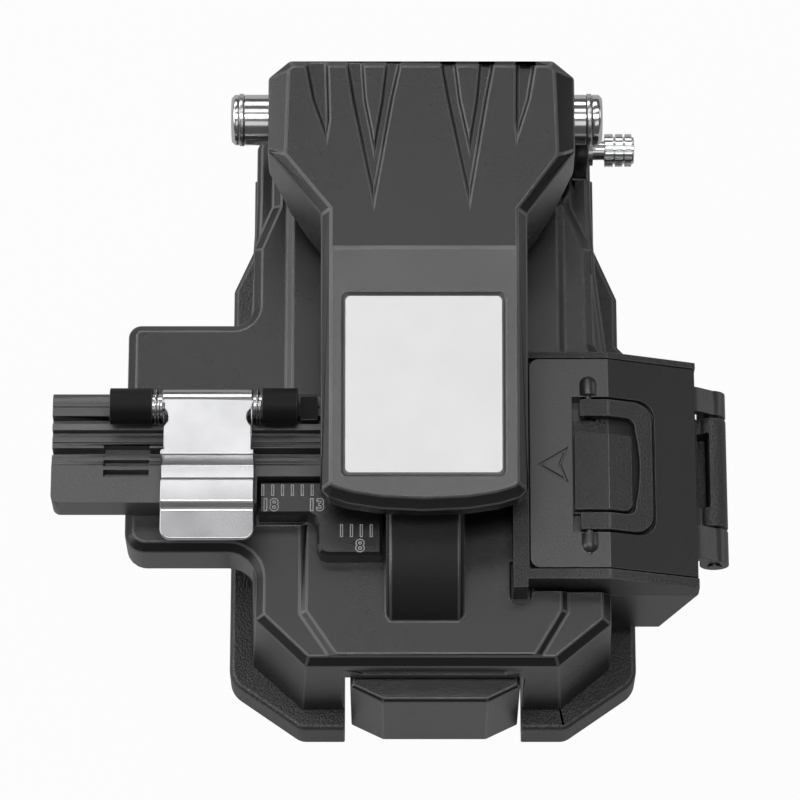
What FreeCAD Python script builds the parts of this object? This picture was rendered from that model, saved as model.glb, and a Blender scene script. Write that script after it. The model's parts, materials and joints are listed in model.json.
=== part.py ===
import FreeCAD, Part
import math
import os

# Fibre cleaver, millimetres, Z up, X to the right, Y away from the user.
# The origin is the centre of the flat underside of the rubber mat.

V = FreeCAD.Vector

# Levels above the table
MAT_TOP = 0.8
PLATE_FOOT = 0.2
MAT_INSET = 1.2
FLANGE_TOP = 5.0
BODY_FLOOR_TOP = 7.9
ROOF_UNDER = 19.5
CHEEK_TOP = ROOF_UNDER + 0.6
SHOULDER_TOP = ROOF_UNDER + 1.5
PLATEAU_TOP = SHOULDER_TOP + 0.4
SCALE_TOP = PLATEAU_TOP + 2.6
GUIDE_TOP = SCALE_TOP + 1.0
FIBRE_Y = -7.2
BLADE_X = 0.66

# Clearances
RUN_FIT = 0.05
SLIDE_GAP = 0.1
PART_GAP = 0.3
OVERCUT = 5.0

# Lever and its axle
AXLE_Y = 27.0
AXLE_Z = GUIDE_TOP + 5.0
AXLE_RADIUS = 2.6
AXLE_LEFT = -20.75
AXLE_RIGHT = 17.35
EAR_RADIUS = 3.9
LEVER_WALL = 1.6
LEVER_RISE = 11.2
LEVER_LIP_RISE = 6.6
LEVER_BEND_Y = 10.4
LEVER_BEND_Z = GUIDE_TOP + LEVER_RISE
LEVER_REAR_TOP = LEVER_BEND_Z + 0.3
LEVER_LIP_Y = -14.5
LEVER_LIP_Z = GUIDE_TOP + LEVER_LIP_RISE
LEVER_ROOF = LEVER_WALL * 1.02
LEVER_SLOPE = (LEVER_BEND_Z - LEVER_LIP_Z) / (LEVER_BEND_Y - LEVER_LIP_Y)

# Cutting wheel and its carriage
WHEEL_Y = -16.7
WHEEL_Z = ROOF_UNDER - 2.9
WHEEL_RADIUS = 8.0
WHEEL_THICK = 1.0
CARRIAGE_LEFT = -7.0
CARRIAGE_RIGHT = -0.9
RAIL_X = -5.0
RAIL_WIDTH = 5.0
RAIL_TOP = 8.0
SPRING_X = -11.8
SPRING_Z = 12.0
BAY_REAR = 24.0
TAB_HALF = 9.2
TAB_TRAVEL_GAP = 0.4
TAB_TOP = 16.0
LOCK_Z = AXLE_Z - 8.0

# Fibre clamp
CLAMP_Y = -3.25
CLAMP_Z = GUIDE_TOP + 1.9
CLAMP_PIN_RADIUS = 1.25
CLAMP_CURL = 1.75
CLAMP_SHEET = 0.55

# Offcut bin
BIN_FRONT = -20.8
STRIP_FRONT = -21.7
BIN_REAR = 3.6
BIN_LEFT = 10.2
BIN_RIGHT = 26.95
BIN_FLOOR = 8.0
BIN_SPLIT = ROOF_UNDER - 0.5
LID_TOP = PLATEAU_TOP + 3.1
LID_BEND_X = 17.8
LID_FALL = 0.3587
LID_THICK = 1.4
LID_AXIS_X = 28.65
LID_AXIS_Z = BIN_SPLIT - 0.5
LID_BARREL = 1.5
RING_X = 15.75
RING_Z = LID_TOP - 0.4


def box(x0, x1, y0, y1, z0, z1):
    return Part.makeBox(x1 - x0, y1 - y0, z1 - z0, V(x0, y0, z0))


def closed(loop):
    return Part.makePolygon(loop + loop[:1])


def plan_wire(points, z):
    return closed([V(x, y, z) for x, y in points])


def plate(points, z0, z1):
    """Plan outline raised from one level to another."""
    return Part.Face(plan_wire(points, z0)).extrude(V(0, 0, z1 - z0))


def taper(low, z0, high, z1):
    """Solid between two plan outlines with the same number of corners."""
    return Part.makeLoft([plan_wire(low, z0), plan_wire(high, z1)], True, True)


def sloped(low, z0, high, z1):
    """Solid with flat sides between an outline and its offset."""
    lower = [V(x, y, z0) for x, y in low]
    upper = [V(x, y, z1) for x, y in high]
    faces = [Part.Face(closed(lower)), Part.Face(closed(upper))]
    for index in range(len(lower)):
        corners = [lower[index - 1], lower[index], upper[index], upper[index - 1]]
        faces.append(Part.Face(closed(corners)))
    solid = Part.makeSolid(Part.makeShell(faces))
    if solid.Volume < 0:
        solid.reverse()
    return solid


def across_x(points, x0, x1):
    """Side outline of (y, z) corners carried from x0 to x1."""
    face = Part.Face(closed([V(x0, y, z) for y, z in points]))
    return face.extrude(V(x1 - x0, 0, 0))


def along_y(points, y0, y1):
    """End outline of (x, z) corners carried from y0 to y1."""
    face = Part.Face(closed([V(x, y0, z) for x, z in points]))
    return face.extrude(V(0, y1 - y0, 0))


def rod_x(x0, x1, y, z, radius):
    return Part.makeCylinder(radius, x1 - x0, V(x0, y, z), V(1, 0, 0))


def rod_y(y0, y1, x, z, radius):
    return Part.makeCylinder(radius, y1 - y0, V(x, y0, z), V(0, 1, 0))


def rod_z(z0, z1, x, y, radius):
    return Part.makeCylinder(radius, z1 - z0, V(x, y, z0), V(0, 0, 1))


def joined(*shapes):
    return shapes[0].fuse(list(shapes[1:])).removeSplitter()


def inset(points, distance):
    """Mitred offset of a counter-clockwise outline, inward for a positive distance."""
    moved = []
    count = len(points)
    for index in range(count):
        before = V(*points[index - 1], 0)
        here = V(*points[index], 0)
        after = V(*points[(index + 1) % count], 0)
        first = (here - before).normalize()
        second = (after - here).normalize()
        inward_one = V(-first.y, first.x, 0)
        inward_two = V(-second.y, second.x, 0)
        reach = distance / (1 + inward_one.dot(inward_two))
        corner = here + (inward_one + inward_two) * reach
        moved.append((corner.x, corner.y))
    return moved


def rounded(corners, steps=6):
    """Outline in which each (x, y, radius) corner becomes an arc of short chords."""
    outline = []
    count = len(corners)
    for index in range(count):
        x, y, radius = corners[index]
        if radius == 0:
            outline.append((x, y))
            continue
        here = V(x, y, 0)
        back = (V(*corners[index - 1][:2], 0) - here).normalize()
        ahead = (V(*corners[(index + 1) % count][:2], 0) - here).normalize()
        half = back.getAngle(ahead) / 2
        middle = (back + ahead).normalize() * (radius / math.sin(half)) + here
        first = here + back * (radius / math.tan(half)) - middle
        last = here + ahead * (radius / math.tan(half)) - middle
        for step in range(steps + 1):
            share = step / steps
            spoke = (first * (1 - share) + last * share).normalize() * radius
            outline.append((middle.x + spoke.x, middle.y + spoke.y))
    return outline


def chamfered(points, z0, z1, size):
    """Plate whose upper edge is chamfered all round."""
    lower = plate(points, z0, z1 - size)
    upper = sloped(points, z1 - size, inset(points, size), z1)
    return joined(lower, upper)


def round_uprights(shape, radius, spots):
    """Round the upright edges that stand at the given plan positions."""
    chosen = []
    for edge in shape.Edges:
        bounds = edge.BoundBox
        upright = bounds.XLength < 0.01 and bounds.YLength < 0.01
        if upright and any(math.hypot(bounds.XMin - x, bounds.YMin - y) < 0.05 for x, y in spots):
            chosen.append(edge)
    return shape.makeFillet(radius, chosen)


def chamfer_level(shape, size, z):
    """Chamfer every edge that lies in the level z."""
    rim = []
    for edge in shape.Edges:
        bounds = edge.BoundBox
        if abs(bounds.ZMin - z) < 0.001 and abs(bounds.ZMax - z) < 0.001:
            rim.append(edge)
    return shape.makeChamfer(size, rim)


def coil(start, direction, radius, wire, pitch, turns):
    """Helical spring that begins at start and winds along direction."""
    path = Part.makeHelix(pitch, pitch * turns, radius)
    ring = Part.Wire(Part.makeCircle(wire / 2, V(radius, 0, 0), V(0, 1, 0)))
    spring = Part.Wire(path.Edges).makePipeShell([ring], True, True)
    spring.Placement = FreeCAD.Placement(start, FreeCAD.Rotation(V(0, 0, 1), direction))
    return spring


def cap_screw(x, y, top, length, head_radius, head_height, shank_radius, up):
    """Socket screw; up=1 has its head on top, up=-1 has it underneath."""
    axis = V(0, 0, -up)
    head = Part.makeCylinder(head_radius, head_height, V(x, y, top), axis)
    shank = Part.makeCylinder(shank_radius, length, V(x, y, top), axis)
    socket_depth = head_height * 0.55
    corners = []
    for index in range(6):
        angle = math.radians(60 * index)
        reach = head_radius * 0.55
        corners.append(V(x + reach * math.cos(angle), y + reach * math.sin(angle), top))
    socket = Part.Face(closed(corners)).extrude(axis * socket_depth)
    return head.fuse(shank).cut(socket)


def screw_bore(x, y, top, length, head_radius, head_height, shank_radius, up):
    """The space that the matching screw fills, socket included."""
    axis = V(0, 0, -up)
    head = Part.makeCylinder(head_radius, head_height, V(x, y, top), axis)
    shank = Part.makeCylinder(shank_radius, length, V(x, y, top), axis)
    return head.fuse(shank)


def screw_set(places):
    """Screws and their bores for a list of screw sizes and places."""
    screws = [cap_screw(*place) for place in places]
    bores = [screw_bore(*place) for place in places]
    return Part.makeCompound(screws), Part.makeCompound(bores)


def lid_level(x):
    """Height of the bent bin lid above the position x."""
    return LID_TOP - max(0.0, x - LID_BEND_X) * LID_FALL


def lever_level(y):
    """Height of the sloping front panel of the lever at y."""
    return LEVER_BEND_Z - (LEVER_BEND_Y - y) * LEVER_SLOPE


def under_lever(y0, y1, z, x0, x1):
    """Block that hangs from the sloping roof of the lever down to z."""
    roof_rear = lever_level(y1) - LEVER_ROOF
    roof_front = lever_level(y0) - LEVER_ROOF
    return across_x([(y0, z), (y1, z), (y1, roof_rear), (y0, roof_front)], x0, x1)


# Base

flange_outline = [
    (-21.2, -25.8), (-13.8, -31.0), (13.8, -31.0), (21.2, -25.8),
    (21.2, 10.0), (19.8, 11.5), (19.8, 17.0), (17.4, 22.7),
    (17.4, 30.8), (-19.1, 30.8), (-19.1, 22.7), (-21.2, 17.9),
]
tab_way = box(-TAB_HALF, TAB_HALF, -31 - OVERCUT, -10.0, -OVERCUT, FLANGE_TOP + OVERCUT)

base_plate = plate(flange_outline, PLATE_FOOT, FLANGE_TOP)
base_plate = round_uprights(base_plate, 2.6, [(-21.2, -25.8), (21.2, -25.8)])
base_plate = round_uprights(base_plate, 1.8, [(-13.8, -31.0), (13.8, -31.0)])
base_plate = chamfer_level(base_plate, 0.4, FLANGE_TOP)
base_plate = base_plate.cut(tab_way)

mat_slab = plate(inset(flange_outline, MAT_INSET), 0, MAT_TOP)
base_plate = base_plate.cut(mat_slab)
anti_slip_mat = mat_slab.cut(tab_way)

BASE_SCREW = (12.0, 2.0, 1.6, 1.0, -1)
base_places = [(x, y, MAT_TOP, *BASE_SCREW) for x, y in
               [(-16.6, -19.0), (13.4, -24.4), (-16.8, 14.0), (13.0, 14.0)]]
base_screws, base_bores = screw_set(base_places)
mat_windows = Part.makeCompound([rod_z(0, MAT_TOP, x, y, 2.3) for x, y, *_ in base_places])
anti_slip_mat = anti_slip_mat.cut(mat_windows)

# Main body

lower_foot = [
    (-13.6, -28.85), (13.2, -28.85), (18.4, -24.5), (18.4, 3.9),
    (17.6, 14.0), (17.0, 22.0), (17.0, 28.5), (15.0, 30.5), (-16.7, 30.5), (-18.2, 29.9), (-18.9, 28.4),
    (-18.9, 22.0), (-19.4, 14.0), (-19.4, 0.0), (-18.8, -24.1),
]
lower_head = [
    (-13.0, -28.8), (12.6, -28.8), (18.0, -24.3), (18.0, 3.9),
    (16.9, 14.0), (16.5, 22.0), (16.5, 28.3), (14.7, 30.0), (-16.4, 30.0), (-17.8, 29.5), (-18.4, 28.2),
    (-18.4, 22.0), (-18.65, 14.0), (-18.65, 0.0), (-18.1, -23.8),
]
shoulder = rounded([
    (-13.0, -28.8, 0), (12.6, -28.8, 0), (18.0, -24.3, 0), (18.0, 4.5, 1.2), (16.6, 5.5, 1.2),
    (16.45, 16.5, 0), (14.4, 21.3, 0), (14.4, 30.9, 0), (-16.7, 30.9, 0), (-16.7, 21.3, 0),
    (-18.65, 16.5, 0), (-18.65, 8.1, 2.0), (-31.5, 8.1, 1.3), (-31.5, -16.65, 2.1),
    (-18.1, -16.65, 2.9), (-18.1, -23.8, 0),
])
wing_underside = SHOULDER_TOP - 6.2

lower_block = taper(lower_foot, FLANGE_TOP, lower_head, CHEEK_TOP - 0.5)
lower_block = joined(lower_block, taper(lower_head, CHEEK_TOP - 0.5, inset(lower_head, 0.5), CHEEK_TOP))
upper_block = chamfered(shoulder, wing_underside, SHOULDER_TOP, 0.9)

plateau_foot = [
    (-10.25, -28.45), (10.6, -28.45), (13.6, -23.3), (13.6, 30.9),
    (-15.2, 30.9), (-15.2, -4.0), (-13.6, -6.5), (-13.6, -23.4),
]
PLATEAU_SLOPE = 0.7
plateau = sloped(plateau_foot, SHOULDER_TOP, inset(plateau_foot, PLATEAU_SLOPE), PLATEAU_TOP)
plateau = plateau.common(box(-20, 20, -27.9, 31, SHOULDER_TOP, PLATEAU_TOP))
scale_pad = box(-17.9, -13.0, -13.9, -9.0, SHOULDER_TOP - 1, PLATEAU_TOP)

body = joined(lower_block, upper_block, plateau, scale_pad)

# Hollows in the body
front_bay = box(-TAB_HALF, TAB_HALF, -26.5, -8.0, FLANGE_TOP - 1, ROOF_UNDER)
rear_bay = box(-14.8, TAB_HALF, -8.0, BAY_REAR, FLANGE_TOP - 1, ROOF_UNDER)
tab_mouth = box(-TAB_HALF, TAB_HALF, -31.0, -26.0, FLANGE_TOP - 1, TAB_TOP + TAB_TRAVEL_GAP)
blade_slot = box(BLADE_X - 1.0, BLADE_X + 1.0, WHEEL_Y, 9.3, ROOF_UNDER - 1, PLATEAU_TOP + 1)
bin_pocket = box(BIN_LEFT - 0.05, 32.0, BIN_FRONT - 0.25, BIN_REAR + 0.25, BODY_FLOOR_TOP, LID_TOP + OVERCUT)
strip_slot = joined(
    box(7.75, 9.85, STRIP_FRONT + 0.2, -18.0, PLATEAU_TOP - 0.8, PLATEAU_TOP + 1),
    rod_z(PLATEAU_TOP - 0.8, PLATEAU_TOP + 1, 8.8, STRIP_FRONT + 0.2, 1.05),
)
for hollow in (front_bay, rear_bay, tab_mouth, blade_slot, bin_pocket, strip_slot):
    body = body.cut(hollow)

# Shallow scoop above the push tab
scoop_top = ROOF_UNDER - 0.5
scoop_low = ROOF_UNDER - 2.1
scoop = along_y([(-9.0, scoop_top), (-7.2, scoop_low), (7.2, scoop_low), (9.0, scoop_top)], -31.0, -28.4)
body = body.cut(scoop)

# Room for the lock lug of the lever
lug_way = rod_x(12.45, 14.7, AXLE_Y, AXLE_Z, 10.5)
body = body.cut(lug_way)
lock_boss = joined(
    rod_x(14.75, 16.2, AXLE_Y, LOCK_Z, 2.4),
    box(14.75, 16.2, AXLE_Y - 2.4, AXLE_Y + 2.4, LOCK_Z - 4.0, LOCK_Z),
)

ears = []
for ear_left, ear_right in ((-14.8, -10.3), (7.9, 12.3)):
    foot = box(ear_left, ear_right, AXLE_Y - EAR_RADIUS, AXLE_Y + EAR_RADIUS, SHOULDER_TOP - 1, AXLE_Z)
    ears.append(foot)
    ears.append(rod_x(ear_left, ear_right, AXLE_Y, AXLE_Z, EAR_RADIUS))
body = joined(body, lock_boss, *ears)

# Hood over the parked cutting wheel
HOOD_LEFT = -4.84
HOOD_RIGHT = 3.0
HOOD_RADIUS = 9.0
HOOD_END = -11.5
hood_front = rod_x(HOOD_LEFT, HOOD_RIGHT, WHEEL_Y, WHEEL_Z, HOOD_RADIUS)
hood_top = WHEEL_Z + HOOD_RADIUS
hood_front = hood_front.common(box(-9, 9, WHEEL_Y - HOOD_RADIUS - 0.3, WHEEL_Y, ROOF_UNDER + 1, hood_top + 1))
hood_rear = box(HOOD_LEFT, HOOD_RIGHT, WHEEL_Y, HOOD_END, ROOF_UNDER + 1, hood_top)
hood = joined(hood_front, hood_rear)
hood_edges = []
for edge in hood.Edges:
    bounds = edge.BoundBox
    on_side = abs(bounds.XMin - HOOD_LEFT) < 0.001 or abs(bounds.XMax - HOOD_RIGHT) < 0.001
    if on_side and bounds.XLength < 0.001 and bounds.ZMax > hood_top - 0.1 and bounds.YLength > 1:
        hood_edges.append(edge)
hood = hood.makeChamfer(0.45, hood_edges)
wheel_room = joined(
    rod_x(BLADE_X - 1.0, BLADE_X + 1.0, WHEEL_Y, WHEEL_Z, WHEEL_RADIUS + 0.4),
    box(BLADE_X - 1.0, BLADE_X + 1.0, WHEEL_Y, 9.3, ROOF_UNDER, WHEEL_Z + WHEEL_RADIUS + 0.4),
)
body = joined(body, hood).cut(wheel_room)

# Fibre guide with the hinge barrels of the clamp
GUIDE_LEFT = -38.8
GUIDE_RIGHT = -5.2
guide_drops = [
    (-0.9, 1.0), (-1.05, 0.55), (-1.4, 0.2), (-1.9, 0), (-2.55, 0), (-2.65, 0.15), (-2.75, 0), (-3.6, 0),
    (-3.75, 1.1), (-4.2, 1.1), (-4.3, 0.3), (-5.0, 0.4), (-5.1, 1.1), (-5.5, 1.1), (-5.65, 0.6), (-6.2, 0.6),
    (-6.3, 0.75), (-6.45, 0.65), (FIBRE_Y + 0.35, 0.65), (FIBRE_Y + 0.25, 2.1), (FIBRE_Y - 0.25, 2.1),
    (FIBRE_Y - 0.35, 0.65), (-7.8, 0.65), (-7.9, 0.4), (-8.4, 0.4), (-8.5, 0.2), (-8.75, 0.2), (-8.9, 0),
    (-12.9, 0),
]
guide_profile = [(y, GUIDE_TOP - drop) for y, drop in guide_drops]
guide_profile += [(-12.9, SHOULDER_TOP), (-0.9, SHOULDER_TOP)]
fibre_guide = across_x(guide_profile, GUIDE_LEFT, GUIDE_RIGHT)
fibre_guide = fibre_guide.cut(box(-17.9, 0, -13.5, -10.1, SHOULDER_TOP - 1, GUIDE_TOP + 1))
fibre_guide = round_uprights(fibre_guide, 0.8, [(GUIDE_LEFT, -12.9)])
for notch_front, notch_rear, notch_drop in ((-7.9, -6.5, 2.1), (-9.0, -8.2, 1.4), (-10.1, -9.4, 1.4)):
    notch = box(-33.5, -28.9, notch_front, notch_rear, GUIDE_TOP - notch_drop, GUIDE_TOP + 1)
    fibre_guide = fibre_guide.cut(notch)
CLAMP_BARREL = 1.85
clamp_bore = rod_x(-32.6, -14.0, CLAMP_Y, CLAMP_Z, CLAMP_PIN_RADIUS)
barrels = []
for barrel_left, barrel_right in ((-32.8, -28.5), (-17.4, -13.8)):
    barrels.append(rod_x(barrel_left, barrel_right, CLAMP_Y, CLAMP_Z, CLAMP_BARREL))
    barrels.append(box(barrel_left, barrel_right, CLAMP_Y - 0.9, CLAMP_Y + 1.7, GUIDE_TOP - 1, CLAMP_Z))
end_block = box(-13.6, -11.8, CLAMP_Y - 1.1, CLAMP_Y + 1.5, GUIDE_TOP - 1, GUIDE_TOP + 0.9)
fibre_guide = joined(fibre_guide, *barrels).cut(clamp_bore)
fibre_guide = joined(fibre_guide, end_block)

GUIDE_SCREW = (5.0, 1.3, 0.9, 0.8, -1)
guide_seat = SHOULDER_TOP - 3.0
guide_places = [(x, -11.0, guide_seat, *GUIDE_SCREW) for x in (-30.0, -23.0)]
guide_screws, guide_bores = screw_set(guide_places)
guide_access = Part.makeCompound([rod_z(wing_underside, guide_seat, x, y, 1.3) for x, y, *_ in guide_places])
fibre_guide = fibre_guide.cut(guide_bores)
body = body.cut(guide_bores).cut(guide_access)
body = body.cut(box(-17.9, GUIDE_RIGHT, -10.1, -0.9, SHOULDER_TOP, GUIDE_TOP + OVERCUT))

# Scale plate
scale_outline = [
    (-17.8, -13.8), (-12.7, -13.8), (-12.15, -14.15), (-11.9, -14.9), (-11.85, -17.0),
    (-11.55, -17.75), (-10.9, -18.1), (-5.2, -18.1), (-5.2, -10.2), (-17.8, -10.2),
]
scale_plate = chamfered(scale_outline, PLATEAU_TOP, SCALE_TOP, 0.3)
tick_cuts = []
for distance in range(13, 19):
    length = 1.5 if distance in (13, 18) else 1.0
    x = BLADE_X - distance
    tick_cuts.append(box(x - 0.09, x + 0.09, -10.75 - length, -10.75, SCALE_TOP - 0.12, SCALE_TOP + 1))
for distance in range(7, 11):
    x = BLADE_X - distance
    tick_cuts.append(box(x - 0.09, x + 0.09, -16.15, -15.0, SCALE_TOP - 0.12, SCALE_TOP + 1))
for tick in tick_cuts:
    scale_plate = scale_plate.cut(tick)

# Jaws either side of the blade
JAW_FRONT = -10.0
JAW_REAR = -4.6
PAD_BOTTOM = GUIDE_TOP - 0.7
UPPER_JAW_FACE = GUIDE_TOP + 1.0
PAD_GAP = 0.2
lower_jaws = {}
lower_pads = []
upper_jaws = {}
upper_pads = []
jaw_screw_places = []
for side, jaw_left, jaw_right in (("left", -4.5, -0.8), ("right", 2.2, 6.0)):
    jaw = chamfered([(jaw_left, JAW_FRONT), (jaw_right, JAW_FRONT), (jaw_right, JAW_REAR),
                     (jaw_left, JAW_REAR)], PLATEAU_TOP, PAD_BOTTOM, 0.25)
    lower_jaws[side] = jaw
    lower_pads.append(box(jaw_left + 0.4, jaw_right - 0.4, -9.2, -5.2, PAD_BOTTOM, GUIDE_TOP))
    upper_jaws[side] = under_lever(-9.4, -4.9, UPPER_JAW_FACE, jaw_left, jaw_right)
    upper_pads.append(box(jaw_left + 0.4, jaw_right - 0.4, -9.0, -5.4, GUIDE_TOP + PAD_GAP, UPPER_JAW_FACE))

# Magnets that hold the lever closed
MAGNET_X = 5.2
MAGNET_Y = 4.5
body_magnet = rod_z(PLATEAU_TOP - 1.4, PLATEAU_TOP + 0.2, MAGNET_X, MAGNET_Y, 2.0)
body = body.cut(body_magnet)

# Axle of the lever with its two clips
lever_axle = rod_x(AXLE_LEFT, AXLE_RIGHT, AXLE_Y, AXLE_Z, AXLE_RADIUS)
end_edges = []
for edge in lever_axle.Edges:
    bounds = edge.BoundBox
    if bounds.XLength < 0.001:
        end_edges.append(edge)
lever_axle = lever_axle.makeChamfer(0.35, end_edges)
CLIP_GROOVE = 2.1
clips = []
for clip_x in (-19.7, 16.0):
    groove = rod_x(clip_x - 0.3, clip_x + 0.3, AXLE_Y, AXLE_Z, AXLE_RADIUS + 1)
    groove = groove.cut(rod_x(clip_x - 0.3, clip_x + 0.3, AXLE_Y, AXLE_Z, CLIP_GROOVE))
    lever_axle = lever_axle.cut(groove)
    clip = rod_x(clip_x - 0.25, clip_x + 0.25, AXLE_Y, AXLE_Z, AXLE_RADIUS + 0.1)
    clip = clip.cut(rod_x(clip_x - 0.25, clip_x + 0.25, AXLE_Y, AXLE_Z, CLIP_GROOVE))
    clip = clip.cut(box(clip_x - 1, clip_x + 1, AXLE_Y - 1.4, AXLE_Y + 1.4, AXLE_Z - 4, AXLE_Z))
    clips.append(clip)
axle_clips = Part.makeCompound(clips)
body = body.cut(rod_x(-16.0, 13.0, AXLE_Y, AXLE_Z, AXLE_RADIUS))

# Lock pin with its bush
lock_bush = rod_x(14.75, 16.7, AXLE_Y, LOCK_Z, 1.6)
lock_bush = lock_bush.cut(rod_x(14.0, 17.5, AXLE_Y, LOCK_Z, 1.0 + RUN_FIT))
body = body.cut(rod_x(14.75, 17.5, AXLE_Y, LOCK_Z, 1.6))
lock_pin = rod_x(14.5, 17.9, AXLE_Y, LOCK_Z, 1.0)
knob_bands = []
for band_left, band_right in ((17.9, 18.8), (19.05, 19.8), (20.05, 20.7)):
    knob_bands.append(rod_x(band_left, band_right, AXLE_Y, LOCK_Z, 1.75))
knob_core = rod_x(17.9, 21.0, AXLE_Y, LOCK_Z, 1.5)
lock_knob = joined(knob_core, *knob_bands)

# Cutting wheel
cutting_wheel = rod_x(BLADE_X - WHEEL_THICK / 2, BLADE_X + WHEEL_THICK / 2, WHEEL_Y, WHEEL_Z, WHEEL_RADIUS)
wheel_rims = [edge for edge in cutting_wheel.Edges if edge.BoundBox.XLength < 0.001]
cutting_wheel = cutting_wheel.makeChamfer(0.42, wheel_rims)
SHAFT_RADIUS = 1.0
shaft_hole = rod_x(-8.0, 4.0, WHEEL_Y, WHEEL_Z, SHAFT_RADIUS)
cutting_wheel = cutting_wheel.cut(shaft_hole)
blade_hub = rod_x(-0.75, BLADE_X - WHEEL_THICK / 2, WHEEL_Y, WHEEL_Z, 2.5).cut(shaft_hole)
blade_nut = rod_x(BLADE_X + WHEEL_THICK / 2, 2.2, WHEEL_Y, WHEEL_Z, 2.3).cut(shaft_hole)
blade_shaft = rod_x(-6.4, 2.5, WHEEL_Y, WHEEL_Z, SHAFT_RADIUS)

# Carriage
carriage_top = ROOF_UNDER - PART_GAP
carriage_profile = [
    (-28.0, 6.0), (-26.6, 6.0), (-25.2, 10.0), (1.5, 10.0), (1.5, 14.5),
    (-11.5, 14.5), (-13.5, carriage_top), (-19.5, carriage_top), (-21.0, 15.0), (-28.0, 15.0),
]
carriage = across_x(carriage_profile, CARRIAGE_LEFT, CARRIAGE_RIGHT)
spring_lug = box(-13.4, CARRIAGE_LEFT, -1.5, 1.5, 10.0, 14.0)
carriage = joined(carriage, spring_lug)
carriage = carriage.cut(rod_x(-6.6, 0.0, WHEEL_Y, WHEEL_Z, SHAFT_RADIUS + RUN_FIT))
carriage = carriage.cut(rod_y(-3.0, 3.0, SPRING_X, SPRING_Z, 0.8 + SLIDE_GAP))

rail_half = RAIL_WIDTH / 2
rail_profile = [
    (RAIL_X - rail_half, FLANGE_TOP), (RAIL_X + rail_half, FLANGE_TOP), (RAIL_X + rail_half, 6.0),
    (RAIL_X + rail_half - 0.5, 6.6), (RAIL_X + rail_half, 7.2), (RAIL_X + rail_half, RAIL_TOP),
    (RAIL_X - rail_half, RAIL_TOP), (RAIL_X - rail_half, 7.2), (RAIL_X - rail_half + 0.5, 6.6),
    (RAIL_X - rail_half, 6.0),
]
guide_rail = along_y(rail_profile, -9.0, 23.5)
rail_places = [(RAIL_X, y, RAIL_TOP, 6.0, 1.6, 1.5, 0.9, 1) for y in (-5.5, 7.0, 19.5)]
rail_screws, rail_bores = screw_set(rail_places)
guide_rail = guide_rail.cut(rail_bores)
base_plate = base_plate.cut(rail_bores).cut(base_bores)

BLOCK_HALF = 4.0
rail_block = box(RAIL_X - BLOCK_HALF, RAIL_X + BLOCK_HALF, -8.5, 1.5, 5.4, 10.0)
rail_block = rail_block.cut(box(RAIL_X - rail_half - SLIDE_GAP, RAIL_X + rail_half + SLIDE_GAP,
                                -10.0, 3.0, 5.0, RAIL_TOP + SLIDE_GAP))
slider_places = [(RAIL_X, y, 14.5, 5.8, 1.5, 1.4, 0.8, 1) for y in (-7.0, -0.8)]
slider_screws, slider_bores = screw_set(slider_places)
carriage = carriage.cut(slider_bores)
rail_block = rail_block.cut(slider_bores)

tab_left = -TAB_HALF + TAB_TRAVEL_GAP + PART_GAP
tab_right = TAB_HALF - TAB_TRAVEL_GAP
tab_outline = [
    (tab_left, -28.0), (tab_left, -29.6), (tab_left + 3.3, -31.2), (tab_right - 3.3, -31.2),
    (tab_right, -29.6), (tab_right, -28.0),
]
push_tab = chamfered(tab_outline, 2.0, TAB_TOP, 0.35)
push_tab = push_tab.cut(box(-7.0, 7.3, -29.4, -28.0, 2.0, 5.0))

spring_rod = rod_y(-1.0, BAY_REAR + 3.0, SPRING_X, SPRING_Z, 0.8)
body = body.cut(rod_y(BAY_REAR - 1, BAY_REAR + 3.0, SPRING_X, SPRING_Z, 0.8))
SPRING_TURNS = 9
SPRING_SPACE = BAY_REAR - 1.8 - PART_GAP
return_spring = coil(V(SPRING_X, 1.8, SPRING_Z), V(0, 1, 0), 1.4, 0.55,
                     SPRING_SPACE / SPRING_TURNS, SPRING_TURNS)

# Clamp pin, springs, plate and pad
clamp_pin = rod_x(-32.6, -14.0, CLAMP_Y, CLAMP_Z, CLAMP_PIN_RADIUS)
springs = []
for spring_start in (-28.3, -18.05):
    springs.append(coil(V(spring_start, CLAMP_Y, CLAMP_Z), V(1, 0, 0), 1.65, 0.24, 0.34, 1.5))
clamp_springs = Part.makeCompound(springs)

sheet_top = CLAMP_Z + CLAMP_CURL
valley = CLAMP_Z - 0.3
crest = CLAMP_Z + 1.0
clamp_top = [
    (CLAMP_Y, sheet_top), (-9.0, sheet_top), (-9.4, valley), (-10.9, valley),
    (-11.4, crest), (-13.7, crest), (-14.4, crest - 0.5), (-17.5, crest - 0.7),
]
clamp_under = [
    (-17.5, crest - 0.7 - CLAMP_SHEET), (-14.55, crest - 0.5 - CLAMP_SHEET), (-13.85, crest - CLAMP_SHEET),
    (-11.75, crest - CLAMP_SHEET), (-11.25, valley - CLAMP_SHEET), (-9.0, valley - CLAMP_SHEET),
    (-8.5, sheet_top - CLAMP_SHEET), (CLAMP_Y, sheet_top - CLAMP_SHEET),
]
clamp_sheet = across_x(clamp_top + clamp_under, -27.6, -18.1)
clamp_sheet = round_uprights(clamp_sheet, 1.1, [(-27.6, -17.5), (-18.1, -17.5)])
for edge_x in (-27.95, -17.75):
    clamp_sheet = clamp_sheet.cut(box(edge_x - 0.65, edge_x + 0.65, -8.4, 0.0, CLAMP_Z - 0.9, CLAMP_Z + 3))
    clamp_sheet = clamp_sheet.cut(rod_z(CLAMP_Z - 0.9, CLAMP_Z + 3, edge_x, -5.0, 1.1))
curl = rod_x(-27.5, -18.3, CLAMP_Y, CLAMP_Z, CLAMP_CURL)
clamp_plate = joined(clamp_sheet, curl)
clamp_plate = clamp_plate.cut(rod_x(-28, -17, CLAMP_Y, CLAMP_Z, CLAMP_PIN_RADIUS + RUN_FIT))
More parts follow.
